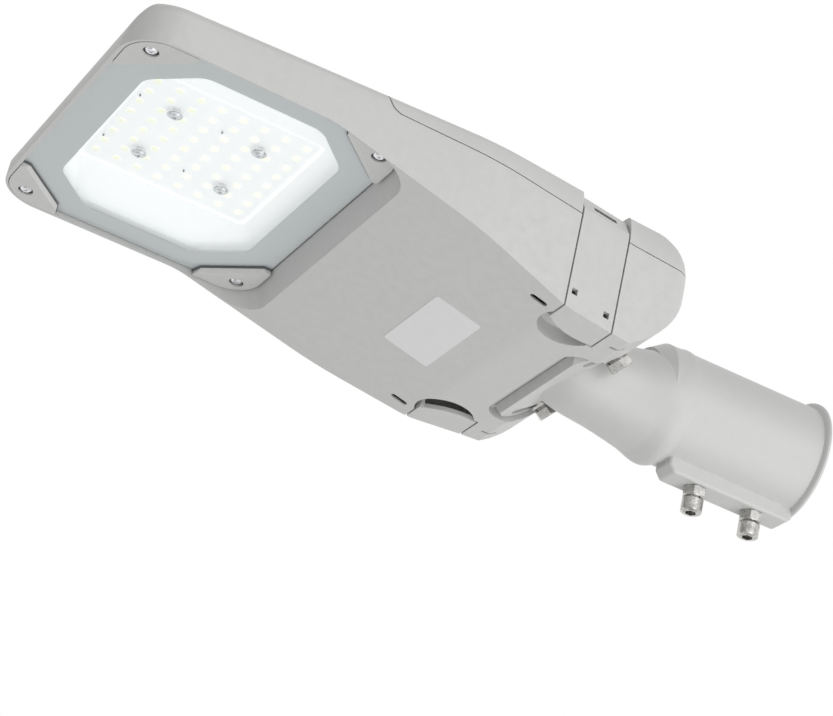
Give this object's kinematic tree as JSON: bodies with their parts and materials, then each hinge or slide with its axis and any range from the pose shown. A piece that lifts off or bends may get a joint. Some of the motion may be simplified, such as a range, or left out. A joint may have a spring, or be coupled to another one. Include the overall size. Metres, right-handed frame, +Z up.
{
  "type": "led street light head",
  "caption": "Flat LED street light head on a tilting pole socket, with a lift-off gear cover held by side latches.",
  "frame": {"origin": "centre of the pole socket's mouth, on the socket's axis", "axes": "+X out of the socket towards the pole, +Z up, the light shines down, the head mirrors about Y = 0"},
  "size_m": [0.497, 0.2194, 0.1183],
  "materials": {
    "grey_paint": "light grey powder coat",
    "white_paint": "matt white",
    "black_rubber": "matt",
    "stainless_steel": "bright",
    "clear_glass": "clear toughened",
    "clear_plastic": "clear moulded",
    "white_board": "white solder mask",
    "yellow_phosphor": "silicone",
    "galvanised_sheet": "zinc coated",
    "driver_case": "bare pressed",
    "pale_plastic": "moulded",
    "dark_plastic": "moulded"
  },
  "bodies": {
    "spigot": {"spigot_adapter": "grey_paint", "set_screws": "stainless_steel", "set_screw_nuts": "stainless_steel"},
    "head": {"board_screws": "stainless_steel", "body_casting": "grey_paint", "cable_gland": "dark_plastic", "clamp_front_left": "grey_paint", "clamp_front_right": "grey_paint", "clamp_rear_left": "grey_paint", "clamp_rear_right": "grey_paint", "clamp_screws": "stainless_steel", "cover_gasket": "black_rubber", "gear_tray": "galvanised_sheet", "glass_gasket": "black_rubber", "glass_pane": "clear_glass", "led_board": "white_board", "led_chips": "yellow_phosphor", "led_driver": "driver_case", "lens_plate": "clear_plastic", "reflector_frame": "white_paint", "surge_protector": "dark_plastic", "terminal_block": "pale_plastic", "tilt_bolts": "stainless_steel", "tilt_flat_washers": "stainless_steel", "tilt_spring_washers": "stainless_steel", "tray_screws": "stainless_steel"},
    "cover": {"top_cover": "grey_paint", "latch_pins": "stainless_steel"},
    "latch_left": {"latch_left": "grey_paint"},
    "latch_right": {"latch_right": "grey_paint"}
  },
  "joints": [
    {"name": "tilt", "type": "hinge", "parent": "spigot", "child": "head", "pos_m": [-0.205, 0, 0.0365], "axis": [0, 1, 0], "range_deg": [0, 15]},
    {"name": "cover_lift", "type": "slide", "parent": "head", "child": "cover", "axis": [0, 0, 1], "range_m": [0, 0.08]},
    {"name": "latch_left_swing", "type": "hinge", "parent": "cover", "child": "latch_left", "pos_m": [-0.1995, 0.0775, 0.0493], "axis": [1, 0, 0], "range_deg": [0, 70]},
    {"name": "latch_right_swing", "type": "hinge", "parent": "cover", "child": "latch_right", "pos_m": [-0.1995, -0.0775, 0.0493], "axis": [-1, 0, 0], "range_deg": [0, 70]}
  ]
}
